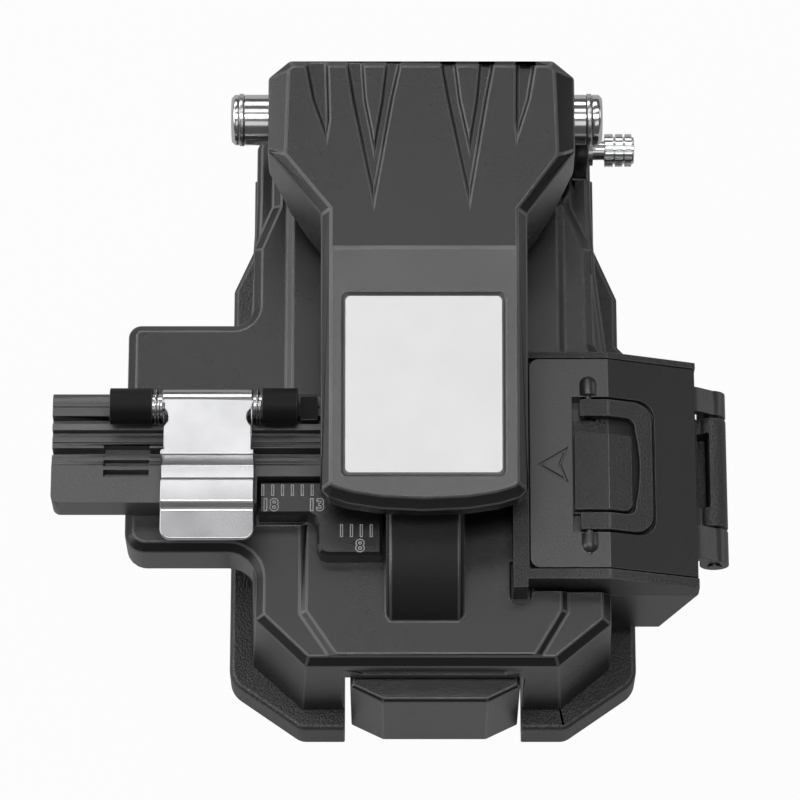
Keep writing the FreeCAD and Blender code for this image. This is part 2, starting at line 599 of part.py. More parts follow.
clamp_pad = box(-26.2, -19.5, -8.3, -6.0, GUIDE_TOP + SLIDE_GAP, sheet_top - CLAMP_SHEET)

# Offcut bin: box, frame, lid and pull ring
bin_outer = [(BIN_LEFT, BIN_FLOOR), (23.5, BIN_FLOOR), (BIN_RIGHT, BIN_SPLIT), (BIN_LEFT, BIN_SPLIT)]
bin_inner = [(BIN_LEFT + 1, BIN_FLOOR + 1), (22.7, BIN_FLOOR + 1), (25.6, BIN_SPLIT + 1),
             (BIN_LEFT + 1, BIN_SPLIT + 1)]
bin_box = along_y(bin_outer, BIN_FRONT, BIN_REAR)
bin_box = bin_box.cut(along_y(bin_inner, BIN_FRONT + 1.2, BIN_REAR - 1.2))

frame_outer = [
    (8.0, PLATEAU_TOP), (8.0, LID_TOP), (LID_BEND_X, LID_TOP), (BIN_RIGHT, lid_level(BIN_RIGHT)),
    (BIN_RIGHT, BIN_SPLIT), (BIN_LEFT, BIN_SPLIT), (BIN_LEFT, PLATEAU_TOP),
]
bin_frame = along_y(frame_outer, BIN_FRONT, BIN_REAR)
bin_strip = box(8.0, 9.5, STRIP_FRONT, BIN_FRONT, PLATEAU_TOP - 0.7, LID_TOP)
bin_frame = joined(bin_frame, bin_strip)
LID_LEFT = 9.75
LID_RIGHT = 26.8
LID_FRONT = -19.6
LID_REAR = 2.8


def lid_slab(x0, x1, y0, y1, above, below):
    """Bent slab that follows the lid from above it to below it."""
    outline = [(x0, lid_level(x0) + above)]
    if x0 < LID_BEND_X < x1:
        outline.append((LID_BEND_X, lid_level(LID_BEND_X) + above))
    outline.append((x1, lid_level(x1) + above))
    outline.append((x1, lid_level(x1) - below))
    if x0 < LID_BEND_X < x1:
        outline.append((LID_BEND_X, lid_level(LID_BEND_X) - below))
    outline.append((x0, lid_level(x0) - below))
    return along_y(outline, y0, y1)


lid_recess = lid_slab(LID_LEFT - 0.1, BIN_RIGHT + 1, LID_FRONT - 0.1, LID_REAR + 0.1, 2.0, LID_THICK + 0.1)
bin_frame = bin_frame.cut(lid_recess)
bin_frame = bin_frame.cut(box(BIN_LEFT + 0.8, 25.2, BIN_FRONT + 2.3, BIN_REAR - 1.9, BIN_SPLIT - 1, LID_TOP + 1))

middle_barrel = rod_y(-13.65, -1.95, LID_AXIS_X, LID_AXIS_Z, LID_BARREL)
middle_web = box(BIN_RIGHT - 1.0, LID_AXIS_X, -13.65, -1.95, LID_AXIS_Z - 2.1, LID_AXIS_Z + 0.9)
web_low = LID_AXIS_Z - 2.5
web_high = LID_AXIS_Z + 11.5
middle_web = middle_web.common(along_y([(24, web_high), (26.4, web_low), (32, web_low), (32, web_high)], -14, -1))
web_window = box(BIN_RIGHT + 0.15, LID_AXIS_X - 0.35, -11.6, -3.6, LID_AXIS_Z - 1.3, LID_TOP + 1)
hinge_bore = rod_y(-19.0, 3.0, LID_AXIS_X, LID_AXIS_Z, 0.7)
bin_box = bin_box.cut(middle_web)
bin_frame = joined(bin_frame, middle_barrel, middle_web).cut(web_window).cut(hinge_bore)
bin_hinge_pin = joined(
    rod_y(-17.4, 0.9, LID_AXIS_X, LID_AXIS_Z, 0.7),
    rod_y(-17.7, -17.4, LID_AXIS_X, LID_AXIS_Z, 0.6),
)

BIN_SCREW = (3.9, 1.5, 1.2, 0.8, -1)
bin_places = [(14.0, y, 5.1, *BIN_SCREW) for y in (-14.0, -3.0)]
bin_screws, bin_bores = screw_set(bin_places)
body = body.cut(bin_bores).cut(Part.makeCompound([rod_z(4.0, 5.1, 14.0, y, 1.5) for y in (-14.0, -3.0)]))
bin_box = bin_box.cut(bin_bores)

bin_lid = lid_slab(LID_LEFT, LID_RIGHT, LID_FRONT, LID_REAR, 0.0, LID_THICK)
bin_lid = round_uprights(bin_lid, 1.0, [(LID_LEFT, LID_FRONT), (LID_LEFT, LID_REAR)])
ring_pocket = lid_slab(14.1, 22.55, -15.85, -1.35, 2.0, 1.0)
ring_pocket = round_uprights(ring_pocket, 1.8, [(22.55, -15.85), (22.55, -1.35)])
tongue = lid_slab(14.3, 20.15, -13.45, -5.3, 0.0, 1.2)
tongue = round_uprights(tongue, 0.9, [(20.15, -13.45)])
bin_lid = joined(bin_lid.cut(ring_pocket), tongue)
for slot_front, slot_rear in ((-3.6, -1.35), (-15.85, -13.6)):
    cup = box(13.9, 16.8, slot_front - 0.2, slot_rear + 0.2, LID_TOP - 2.0, LID_TOP - LID_THICK)
    room = box(14.1, 16.6, slot_front, slot_rear, LID_TOP - 1.75, LID_TOP + 1)
    bin_lid = joined(bin_lid, cup).cut(room)
ring_bosses = []
BOSS_RADIUS = 0.95
for boss_front, boss_rear, dome_y in ((-1.2, 0.0, 0.0), (-17.2, -16.0, -17.2)):
    dome = Part.makeSphere(BOSS_RADIUS, V(RING_X, dome_y, RING_Z))
    boss = joined(rod_y(boss_front, boss_rear, RING_X, RING_Z, BOSS_RADIUS), dome)
    ring_bosses.append(boss.common(box(10, 20, -20, 5, LID_TOP - 1.1, LID_TOP + 1.5)))
arrow_outer = [(10.5, -8.65), (13.6, -10.5), (12.9, -8.65), (13.6, -6.8)]
arrow_inner = inset(arrow_outer, 0.22)
arrow_line = plate(arrow_outer, LID_TOP - 0.25, LID_TOP + 1).cut(plate(arrow_inner, LID_TOP - 1, LID_TOP + 2))
bin_lid = joined(bin_lid, *ring_bosses).cut(arrow_line)

arm_profile = [
    (26.4, LID_AXIS_Z + 1.6), (27.12, LID_AXIS_Z + 1.45), (27.2, LID_AXIS_Z + 0.4), (LID_AXIS_X, LID_AXIS_Z),
    (LID_AXIS_X + 1.3, LID_AXIS_Z + 0.7), (27.3, LID_AXIS_Z + 2.5), (LID_RIGHT, lid_level(LID_RIGHT)),
    (26.4, lid_level(26.4)),
]
lid_knuckles = []
for knuckle_front, knuckle_rear in ((-1.65, 1.0), (-17.5, -13.95)):
    lid_knuckles.append(rod_y(knuckle_front, knuckle_rear, LID_AXIS_X, LID_AXIS_Z, LID_BARREL))
    lid_knuckles.append(along_y(arm_profile, knuckle_front, knuckle_rear))
bin_lid = joined(bin_lid, *lid_knuckles)
bin_lid = bin_lid.cut(rod_y(-19.0, 3.0, LID_AXIS_X, LID_AXIS_Z, 0.7 + RUN_FIT))

PIN_SPANS = ((-3.3, 0.6), (-18.2, -13.9))
ring_pins = Part.makeCompound([rod_y(y0, y1, RING_X, RING_Z, 0.45) for y0, y1 in PIN_SPANS])
bin_lid = bin_lid.cut(ring_pins)
pull_ring = lid_slab(14.85, 22.3, -15.6, -1.6, 0.15, 0.85)
pull_ring = round_uprights(pull_ring, 2.0, [(22.3, -15.6), (22.3, -1.6)])
ring_low = LID_TOP - 6.5
ring_high = LID_TOP + 3.5
ring_inside = box(10, 20.5, -13.75, -3.45, ring_low, ring_high)
ring_inside = round_uprights(ring_inside, 0.9, [(20.5, -13.75), (20.5, -3.45)])
ring_bow = rod_z(ring_low, ring_high, 20.95 - 18.0, -8.6, 18.0)
ring_bow = ring_bow.common(box(19, 22, -12.6, -4.6, ring_low, ring_high))
ring_inside = joined(ring_inside, ring_bow)
pull_ring = pull_ring.cut(ring_inside)
pull_ring = pull_ring.cut(rod_y(-20, 5, RING_X, RING_Z, 0.45 + RUN_FIT))

# Lever
LEVER_NOSE = LEVER_LIP_Y - 1.1
lever_plan = [
    (-11.4, -13.5), (-10.6, -14.3), (-8.4, -14.95), (-5.4, -15.4), (-1.0, LEVER_NOSE), (3.4, -15.4),
    (6.4, -14.95), (8.6, -14.3), (9.4, -13.5), (9.4, 14.3), (14.35, 21.2), (14.35, 29.3), (12.2, 31.2),
    (-14.7, 31.2), (-16.85, 29.3), (-16.85, 21.2), (-11.4, 14.3),
]
nose_under = lever_level(LEVER_NOSE) - 2.7
LEVER_LOW = SHOULDER_TOP - 1.0
LEVER_HIGH = GUIDE_TOP + 15.0
lever_side = [
    (31.2, LEVER_REAR_TOP), (LEVER_BEND_Y, LEVER_BEND_Z), (LEVER_NOSE, lever_level(LEVER_NOSE)),
    (LEVER_NOSE, nose_under), (-11.3, nose_under), (-11.3, GUIDE_TOP + 0.5), (6.5, GUIDE_TOP + 0.5),
    (8.2, GUIDE_TOP - 1.2), (16.0, GUIDE_TOP - 1.2), (18.6, GUIDE_TOP + 0.4), (21.2, AXLE_Z - 0.4),
    (31.2, AXLE_Z - 0.4),
]
CROWN_CUT = 1.0
lever_outer = plate(lever_plan, LEVER_LOW, LEVER_HIGH).common(across_x(lever_side, -20, 20))
crown_edges = []
for edge in lever_outer.Edges:
    bounds = edge.BoundBox
    middle = edge.CenterOfMass
    surface = lever_level(middle.y)
    if middle.y > LEVER_BEND_Y:
        share = (middle.y - LEVER_BEND_Y) / (31.2 - LEVER_BEND_Y)
        surface = LEVER_BEND_Z + (LEVER_REAR_TOP - LEVER_BEND_Z) * share
    inside = -11.0 < middle.x < 9.0 and abs(middle.y - LEVER_BEND_Y) < 0.1
    if abs(middle.z - surface) < 0.02 and not inside:
        crown_edges.append(edge)
lever_outer = lever_outer.makeChamfer(CROWN_CUT, crown_edges)

# Shallow slopes along both sides of the rear
for side, slope_outer, slope_inner in ((-1, -17.5, -14.75), (1, 15.0, 12.25)):
    slope = [(slope_outer, LEVER_REAR_TOP - 1.4), (slope_inner, LEVER_REAR_TOP),
             (slope_inner, LEVER_REAR_TOP + 2), (slope_outer, LEVER_REAR_TOP + 2)]
    lever_outer = lever_outer.cut(along_y(slope[::side], 12.0, 33.0))

lever_room = [
    (-9.8, -9.8), (7.8, -9.8), (7.8, 14.4), (12.75, 21.7), (12.75, 35.0),
    (-15.25, 35.0), (-15.25, 21.7), (-9.8, 14.4),
]
room_side = [
    (35.0, LEVER_REAR_TOP - LEVER_WALL), (LEVER_BEND_Y, LEVER_BEND_Z - LEVER_WALL),
    (-9.8, lever_level(-9.8) - LEVER_ROOF), (-9.8, LEVER_LOW - 5.0), (35.0, LEVER_LOW - 5.0),
]
lever_hollow = plate(lever_room, LEVER_LOW - 5.0, LEVER_HIGH).common(across_x(room_side, -20, 20))
lever_lobes = []
for lobe_left, lobe_right in ((-16.85, -15.25), (12.75, 14.35)):
    lobe = rod_x(lobe_left, lobe_right, AXLE_Y, AXLE_Z, 31.2 - AXLE_Y)
    lever_lobes.append(lobe.common(plate(lever_plan, LEVER_LOW, AXLE_Z + 4.0)))
lever_cover = joined(lever_outer.cut(lever_hollow), *lever_lobes)
hood_notch = box(-5.3, 3.5, -12.5, -9.0, LEVER_LOW, hood_top + 0.7)
lever_cover = lever_cover.cut(hood_notch)

lock_lug = joined(
    rod_x(12.75, 14.35, AXLE_Y, LOCK_Z, 2.2),
    box(12.75, 14.35, AXLE_Y - 2.2, AXLE_Y + 2.2, LOCK_Z, AXLE_Z - 3.0),
)
lever_cover = joined(lever_cover, lock_lug)
lever_cover = lever_cover.cut(rod_x(12.0, 15.0, AXLE_Y, LOCK_Z, 1.0 + SLIDE_GAP))
lever_cover = lever_cover.cut(rod_x(-18.0, 15.5, AXLE_Y, AXLE_Z, AXLE_RADIUS + RUN_FIT))

# Claw shaped grooves in the rear of the lever
GROOVE_DEPTH = 0.45
groove_floor = LEVER_BEND_Z - GROOVE_DEPTH
claw_outlines = [
    [(-9.1, 31.6), (-8.35, 26.6), (-7.3, 21.0), (-6.05, 14.7), (-5.0, 21.0), (-4.1, 26.6), (-3.1, 31.6)],
    [(0.5, 31.6), (1.3, 26.6), (2.4, 21.0), (3.6, 14.7), (4.6, 21.0), (5.5, 26.6), (6.4, 31.6)],
    [(-13.3, 31.6), (-12.4, 26.6), (-10.85, 21.9), (-10.5, 24.3), (-10.75, 31.6)],
    [(8.35, 31.6), (8.2, 24.3), (8.4, 21.9), (9.8, 26.6), (10.6, 31.6)],
]
claw_ridges = [
    [(-7.3, 32.0), (-6.9, 26.6), (-6.05, 22.0), (-5.3, 26.6), (-4.7, 32.0)],
    [(2.1, 32.0), (2.7, 26.6), (3.6, 22.2), (4.3, 26.6), (4.8, 32.0)],
]
GROOVE_WALL = 0.3
groove_brim = LEVER_REAR_TOP + 0.1
claws = [sloped(inset(outline, GROOVE_WALL), groove_floor, outline, groove_brim) for outline in claw_outlines]
ridges = [sloped(inset(outline, -GROOVE_WALL), groove_floor - 1, outline, groove_brim) for outline in claw_ridges]
claw_cut = Part.makeCompound(claws)
for ridge in ridges:
    claw_cut = claw_cut.cut(ridge)
lever_cover = lever_cover.cut(claw_cut)

# Blank sticker in its recess
LABEL_LEFT = -9.2
LABEL_RIGHT = 7.1
LABEL_FRONT = -12.4
LABEL_REAR = 5.8
LABEL_THICK = 0.3
label_recess = across_x([
    (LABEL_REAR, lever_level(LABEL_REAR) + 1), (LABEL_FRONT, lever_level(LABEL_FRONT) + 1),
    (LABEL_FRONT, lever_level(LABEL_FRONT) - LABEL_THICK),
    (LABEL_REAR, lever_level(LABEL_REAR) - LABEL_THICK),
], LABEL_LEFT, LABEL_RIGHT)
label_recess = round_uprights(label_recess, 0.6, [
    (x, y) for x in (LABEL_LEFT, LABEL_RIGHT) for y in (LABEL_FRONT, LABEL_REAR)])
lever_cover = lever_cover.cut(label_recess)
label_margin = 0.3
label_plate = across_x([
    (LABEL_REAR - label_margin, lever_level(LABEL_REAR - label_margin)),
    (LABEL_FRONT + label_margin, lever_level(LABEL_FRONT + label_margin)),
    (LABEL_FRONT + label_margin, lever_level(LABEL_FRONT + label_margin) - LABEL_THICK),
    (LABEL_REAR - label_margin, lever_level(LABEL_REAR - label_margin) - LABEL_THICK),
], LABEL_LEFT + label_margin, LABEL_RIGHT - label_margin)
label_plate = round_uprights(label_plate, 0.5, [
    (x, y) for x in (LABEL_LEFT + label_margin, LABEL_RIGHT - label_margin)
    for y in (LABEL_FRONT + label_margin, LABEL_REAR - label_margin)])

# Things under the lever
POST_HALF = 2.4
magnet_post = under_lever(MAGNET_Y - POST_HALF, MAGNET_Y + POST_HALF, PLATEAU_TOP + 3.0,
                          MAGNET_X - POST_HALF, MAGNET_X + POST_HALF)
lever_magnet = rod_z(PLATEAU_TOP + 0.8, PLATEAU_TOP + 3.0, MAGNET_X, MAGNET_Y, 2.0)

ANVIL_HALF = 1.0
anvil_step = GUIDE_TOP + 1.6
anvil_foot = box(BLADE_X - ANVIL_HALF, BLADE_X + ANVIL_HALF, -8.6, -5.8, GUIDE_TOP + PAD_GAP, anvil_step)
bush_roof = lever_level(FIBRE_Y - 1.0) - LEVER_ROOF
bush_foot = bush_roof - 2.7
anvil_stem = rod_z(anvil_step, bush_foot + 1.2, BLADE_X, FIBRE_Y, 0.6)
anvil = joined(anvil_foot, anvil_stem)
anvil_bush = rod_z(bush_foot, bush_roof, BLADE_X, FIBRE_Y, 1.0)
anvil_bush = anvil_bush.cut(rod_z(bush_foot, bush_foot + 2.5, BLADE_X, FIBRE_Y, 0.6 + RUN_FIT))
anvil_spring = coil(V(BLADE_X, FIBRE_Y, anvil_step + 0.15), V(0, 0, 1), 0.85, 0.2, 0.38, 4)

nodes = {
    "anti_slip_mat": anti_slip_mat,
    "base_plate": base_plate,
    "base_screws": base_screws,
    "main_body": body.cut(base_bores),
    "fibre_guide": fibre_guide,
    "guide_screws": guide_screws,
    "scale_plate": scale_plate,
    "lower_jaw_left": lower_jaws["left"],
    "lower_jaw_right": lower_jaws["right"],
    "lower_pads": Part.makeCompound(lower_pads),
    "body_magnet": body_magnet,
    "lever_axle": lever_axle,
    "axle_clips": axle_clips,
    "lock_bush": lock_bush,
    "lock_pin": lock_pin,
    "lock_knob": lock_knob,
    "cutting_wheel": cutting_wheel,
    "blade_hub": blade_hub,
    "blade_nut": blade_nut,
    "blade_shaft": blade_shaft,
    "carriage": carriage,
    "guide_rail": guide_rail,
    "rail_screws": rail_screws,
    "rail_block": rail_block,
    "slider_screws": slider_screws,
    "push_tab": push_tab,
    "spring_rod": spring_rod,
    "return_spring": return_spring,
    "clamp_pin": clamp_pin,
    "clamp_springs": clamp_springs,
    "clamp_plate": clamp_plate,
    "clamp_pad": clamp_pad,
    "bin_box": bin_box,
    "bin_frame": bin_frame,
    "bin_hinge_pin": bin_hinge_pin,
    "bin_screws": bin_screws,
    "bin_lid": bin_lid,
    "ring_pins": ring_pins,
    "pull_ring": pull_ring,
    "lever_cover": lever_cover,
    "label_plate": label_plate,
    "upper_jaw_left": upper_jaws["left"],
    "upper_jaw_right": upper_jaws["right"],
    "upper_pads": Part.makeCompound(upper_pads),
    "magnet_post": magnet_post,
    "lever_magnet": lever_magnet,
    "anvil": anvil,
    "anvil_bush": anvil_bush,
    "anvil_spring": anvil_spring,
}

os.makedirs("parts", exist_ok=True)
for name, shape in nodes.items():
    shape.exportStep(f"parts/{name}.step")
    solids = len(shape.Solids)
    print(name, solids, round(shape.Volume, 2), shape.isValid())
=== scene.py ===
import json
import math

import bmesh
import bpy
from mathutils import Euler, Matrix, Vector

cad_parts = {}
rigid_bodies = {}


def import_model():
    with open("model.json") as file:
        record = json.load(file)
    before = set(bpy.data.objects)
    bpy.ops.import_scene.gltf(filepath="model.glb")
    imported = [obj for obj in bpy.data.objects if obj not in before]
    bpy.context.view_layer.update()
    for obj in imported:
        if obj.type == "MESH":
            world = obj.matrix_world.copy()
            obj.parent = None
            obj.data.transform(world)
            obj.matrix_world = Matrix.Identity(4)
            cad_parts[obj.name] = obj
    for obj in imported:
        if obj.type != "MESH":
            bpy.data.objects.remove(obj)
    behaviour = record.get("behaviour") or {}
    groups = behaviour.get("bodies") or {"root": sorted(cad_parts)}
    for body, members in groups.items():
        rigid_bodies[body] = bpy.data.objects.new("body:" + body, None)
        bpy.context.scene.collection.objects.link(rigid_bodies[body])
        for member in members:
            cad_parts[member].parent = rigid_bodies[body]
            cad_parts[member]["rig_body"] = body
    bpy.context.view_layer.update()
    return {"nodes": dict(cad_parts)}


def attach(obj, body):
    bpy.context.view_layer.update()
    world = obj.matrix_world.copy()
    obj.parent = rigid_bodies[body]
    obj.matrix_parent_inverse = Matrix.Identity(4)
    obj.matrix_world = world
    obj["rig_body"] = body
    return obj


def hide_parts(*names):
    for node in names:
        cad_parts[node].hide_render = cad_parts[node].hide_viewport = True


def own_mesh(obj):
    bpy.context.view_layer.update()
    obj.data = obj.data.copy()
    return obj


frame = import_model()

# Fibre cleaver. Sizes of pieces are in millimetres and become metres where a piece is made. Floor, lamps and
# camera are in metres, and pattern scales are per metre.

MM = 0.001
NODES = frame["nodes"]
scene = bpy.context.scene


def metres(*sizes):
    return tuple(size * MM for size in sizes)


# Shader groups shared by the finishes

def new_group(name, inputs, outputs):
    """Empty shader group with named sockets; returns the group and its two end nodes."""
    group = bpy.data.node_groups.new(name, "ShaderNodeTree")
    for socket, kind, value in inputs:
        made = group.interface.new_socket(socket, in_out="INPUT", socket_type=kind)
        if value is not None:
            made.default_value = value
    for socket, kind in outputs:
        group.interface.new_socket(socket, in_out="OUTPUT", socket_type=kind)
    return group, group.nodes.new("NodeGroupInput"), group.nodes.new("NodeGroupOutput")


def add(tree, kind, **settings):
    node = tree.nodes.new(kind)
    for key, value in settings.items():
        setattr(node, key, value)
    return node


def math_node(tree, operation, first, second):
    """Math node whose inputs are sockets or plain numbers; returns its output."""
    node = add(tree, "ShaderNodeMath", operation=operation)
    for index, value in enumerate((first, second)):
        if isinstance(value, (int, float)):
            node.inputs[index].default_value = value
        else:
            tree.links.new(value, node.inputs[index])
    return node.outputs[0]


def cast_grain_group():
    """Fine pebbled relief of blasted and powder coated castings."""
    group, start, end = new_group(
        "cast_grain",
        [("Vector", "NodeSocketVector", None), ("Scale", "NodeSocketFloat", 4.0),
         ("Pits", "NodeSocketFloat", 0.4)],
        [("Height", "NodeSocketFloat")],
    )
    pebbles = add(group, "ShaderNodeTexVoronoi", feature="SMOOTH_F1")
    pebbles.inputs["Smoothness"].default_value = 0.6
    fine = add(group, "ShaderNodeTexNoise")
    fine.inputs["Detail"].default_value = 4.0
    fine.inputs["Roughness"].default_value = 0.6
    for texture in (pebbles, fine):
        group.links.new(start.outputs["Vector"], texture.inputs["Vector"])
    group.links.new(start.outputs["Scale"], pebbles.inputs["Scale"])
    group.links.new(math_node(group, "MULTIPLY", start.outputs["Scale"], 2.3), fine.inputs["Scale"])
    pits = math_node(group, "MULTIPLY", pebbles.outputs["Distance"], start.outputs["Pits"])
    height = math_node(group, "SUBTRACT", fine.outputs["Fac"], pits)
    group.links.new(height, end.inputs["Height"])
    return group


def worn_tone_group():
    """Broad, faint changes of tone and gloss, with rubbed patches."""
    group, start, end = new_group(
        "worn_tone",
        [("Vector", "NodeSocketVector", None), ("Tone", "NodeSocketColor", (0.02, 0.02, 0.02, 1)),
         ("Rubbed", "NodeSocketColor", (0.03, 0.03, 0.03, 1)), ("Roughness", "NodeSocketFloat", 0.4),
         ("Spread", "NodeSocketFloat", 0.06), ("Scale", "NodeSocketFloat", 120.0)],
        [("Color", "NodeSocketColor"), ("Roughness", "NodeSocketFloat")],
    )
    broad = add(group, "ShaderNodeTexNoise")
    broad.inputs["Detail"].default_value = 5.0
    group.links.new(start.outputs["Vector"], broad.inputs["Vector"])
    group.links.new(start.outputs["Scale"], broad.inputs["Scale"])
    ramp = add(group, "ShaderNodeMapRange")
    ramp.inputs["From Min"].default_value = 0.35
    ramp.inputs["From Max"].default_value = 0.72
    group.links.new(broad.outputs["Fac"], ramp.inputs["Value"])
    mix = add(group, "ShaderNodeMix", data_type="RGBA")
    group.links.new(ramp.outputs["Result"], mix.inputs["Factor"])
    group.links.new(start.outputs["Tone"], mix.inputs["A"])
    group.links.new(start.outputs["Rubbed"], mix.inputs["B"])
    group.links.new(mix.outputs["Result"], end.inputs["Color"])
    shift = math_node(group, "MULTIPLY", ramp.outputs["Result"], start.outputs["Spread"])
    group.links.new(math_node(group, "SUBTRACT", start.outputs["Roughness"], shift), end.inputs["Roughness"])
    return group


def tool_lines_group():
    """Fine parallel lines left by turning, drawing or grinding, as a height."""
    group, start, end = new_group(
        "tool_lines",
        [("Vector", "NodeSocketVector", None), ("Scale", "NodeSocketFloat", 900.0)],
        [("Height", "NodeSocketFloat")],
    )
    streaks = add(group, "ShaderNodeTexNoise")
    streaks.inputs["Detail"].default_value = 3.0
    group.links.new(start.outputs["Vector"], streaks.inputs["Vector"])
    group.links.new(start.outputs["Scale"], streaks.inputs["Scale"])
    group.links.new(streaks.outputs["Fac"], end.inputs["Height"])
    return group


CAST_GRAIN = cast_grain_group()
WORN_TONE = worn_tone_group()
TOOL_LINES = tool_lines_group()


def new_material(name, roughness, metallic=0.0, specular=0.5):
    """Material with a principled shader; returns it, its tree, the shader and the object's coordinates."""
    material = bpy.data.materials.new(name)
    material.use_nodes = True
    tree = material.node_tree
    shader = tree.nodes["Principled BSDF"]
    shader.inputs["Roughness"].default_value = roughness
    shader.inputs["Metallic"].default_value = metallic
    shader.inputs["Specular IOR Level"].default_value = specular
    place = add(tree, "ShaderNodeTexCoord")
    return material, tree, shader, place.outputs["Object"]


def tone(tree, shader, vector, colour, rubbed, roughness, spread, scale):
    """Base colour and roughness from the shared tone group."""
    group = add(tree, "ShaderNodeGroup", node_tree=WORN_TONE)
    tree.links.new(vector, group.inputs["Vector"])
    group.inputs["Tone"].default_value = (*colour, 1)
    group.inputs["Rubbed"].default_value = (*rubbed, 1)
    group.inputs["Roughness"].default_value = roughness
    group.inputs["Spread"].default_value = spread
    group.inputs["Scale"].default_value = scale
    tree.links.new(group.outputs["Color"], shader.inputs["Base Color"])
    tree.links.new(group.outputs["Roughness"], shader.inputs["Roughness"])


def relief(tree, shader, height, depth, strength=1.0):
    """Bump of a depth in millimetres from a height."""
    bump = add(tree, "ShaderNodeBump")
    bump.inputs["Strength"].default_value = strength
    bump.inputs["Distance"].default_value = depth * MM
    tree.links.new(height, bump.inputs["Height"])
    tree.links.new(bump.outputs["Normal"], shader.inputs["Normal"])


def coated(name, colour, rubbed, roughness, grain_scale, grain_depth, pits, specular):
    """Painted, powder coated or anodised finish with its grain."""
    material, tree, shader, vector = new_material(name, roughness, specular=specular)
    tone(tree, shader, vector, colour, rubbed, roughness, spread=0.03, scale=90.0)
    grain = add(tree, "ShaderNodeGroup", node_tree=CAST_GRAIN)
    tree.links.new(vector, grain.inputs["Vector"])
    grain.inputs["Scale"].default_value = grain_scale
    grain.inputs["Pits"].default_value = pits
    relief(tree, shader, grain.outputs["Height"], grain_depth)
    return material


def machined(name, colour, rubbed, roughness, line_ratio, line_scale, line_depth):
    """Bare metal with fine lines, drawn out along the axes whose ratio is small."""
    material, tree, shader, vector = new_material(name, roughness, metallic=1.0)
    tone(tree, shader, vector, colour, rubbed, roughness, spread=0.08, scale=150.0)
    lines = add(tree, "ShaderNodeGroup", node_tree=TOOL_LINES)
    mapping = add(tree, "ShaderNodeMapping")
    mapping.inputs["Scale"].default_value = line_ratio
    tree.links.new(vector, mapping.inputs["Vector"])
    tree.links.new(mapping.outputs["Vector"], lines.inputs["Vector"])
    lines.inputs["Scale"].default_value = line_scale
    relief(tree, shader, lines.outputs["Height"], line_depth)
    return material


def foil_sticker():
    """White foil with a fine, soft, leather like stipple."""
    material, tree, shader, vector = new_material("foil_sticker", 0.42)
    tone(tree, shader, vector, (0.94, 0.94, 0.945), (0.96, 0.96, 0.965), roughness=0.4, spread=0.08,
         scale=200.0)
    grain = add(tree, "ShaderNodeGroup", node_tree=CAST_GRAIN)
    tree.links.new(vector, grain.inputs["Vector"])
    grain.inputs["Scale"].default_value = 2600.0
    grain.inputs["Pits"].default_value = 0.9
    relief(tree, shader, grain.outputs["Height"], depth=0.03, strength=0.6)
    return material


SATIN = coated("satin_black_paint", colour=(0.010, 0.010, 0.0105), rubbed=(0.0125, 0.0125, 0.013),
               roughness=0.28, grain_scale=5000.0, grain_depth=0.018, pits=0.5, specular=0.7)
# The lighter edge finishes below go on the bevel faces of rounded edges: a painted highlight along the
# edges.
SATIN_EDGE_HIGHLIGHT = coated("satin_paint_edge_highlight", colour=(0.05, 0.05, 0.051), rubbed=(0.09, 0.09, 0.092),
                    roughness=0.26, grain_scale=5000.0, grain_depth=0.03, pits=0.6, specular=1.0)
GRAINY = coated("blasted_black", colour=(0.014, 0.014, 0.0145), rubbed=(0.022, 0.022, 0.0225),
                roughness=0.38, grain_scale=4600.0, grain_depth=0.07, pits=0.9, specular=0.8)
GRAINY_EDGE_HIGHLIGHT = coated("blasted_edge_highlight", colour=(0.05, 0.05, 0.051), rubbed=(0.08, 0.08, 0.082),
                     roughness=0.3, grain_scale=4600.0, grain_depth=0.08, pits=0.9, specular=1.0)
ANODISED = coated("black_anodised", colour=(0.044, 0.044, 0.045), rubbed=(0.054, 0.054, 0.056),
                  roughness=0.36, grain_scale=4600.0, grain_depth=0.02, pits=0.7, specular=0.9)
ANODISED_EDGE_HIGHLIGHT = coated("anodised_edge_highlight", colour=(0.05, 0.05, 0.052), rubbed=(0.08, 0.08, 0.082),
                       roughness=0.3, grain_scale=4600.0, grain_depth=0.03, pits=0.7, specular=0.9)
RUBBER = coated("black_rubber", colour=(0.02, 0.02, 0.02), rubbed=(0.028, 0.028, 0.028),
                roughness=0.75, grain_scale=2400.0, grain_depth=0.03, pits=0.5, specular=0.3)
LID_PAINT = coated("lid_paint", colour=(0.024, 0.024, 0.025), rubbed=(0.028, 0.028, 0.029),
                   roughness=0.32, grain_scale=4600.0, grain_depth=0.02, pits=0.5, specular=0.9)
HOOD_PAINT = coated("hood_black", colour=(0.010, 0.010, 0.0105), rubbed=(0.015, 0.015, 0.0155),
                    roughness=0.5, grain_scale=4600.0, grain_depth=0.05, pits=0.6, specular=0.35)
BARREL_PAINT = coated("barrel_black", colour=(0.006, 0.006, 0.006), rubbed=(0.01, 0.01, 0.01),
                      roughness=0.5, grain_scale=4200.0, grain_depth=0.03, pits=0.5, specular=0.2)
# Light grey for the scale's rims and number outlines: a painted highlight along the edges of the raised
# marks.
SCALE_RIM_HIGHLIGHT = coated("scale_rim_highlight", colour=(0.5, 0.5, 0.505), rubbed=(0.6, 0.6, 0.605),
               roughness=0.4, grain_scale=3000.0, grain_depth=0.01, pits=0.4, specular=0.5)
CHROME = machined("polished_chrome", colour=(0.72, 0.72, 0.73), rubbed=(0.78, 0.78, 0.79),
                  roughness=0.2, line_ratio=(1, 0.08, 1), line_scale=700.0, line_depth=0.0006)
CLAMP_CHROME = machined("clamp_chrome", colour=(0.52, 0.52, 0.53), rubbed=(0.56, 0.56, 0.57),
                        roughness=0.24, line_ratio=(1, 0.08, 1), line_scale=700.0, line_depth=0.00001)
STEEL = machined("turned_steel", colour=(0.56, 0.56, 0.57), rubbed=(0.66, 0.66, 0.67),
                 roughness=0.3, line_ratio=(1, 0.06, 0.06), line_scale=2400.0, line_depth=0.004)
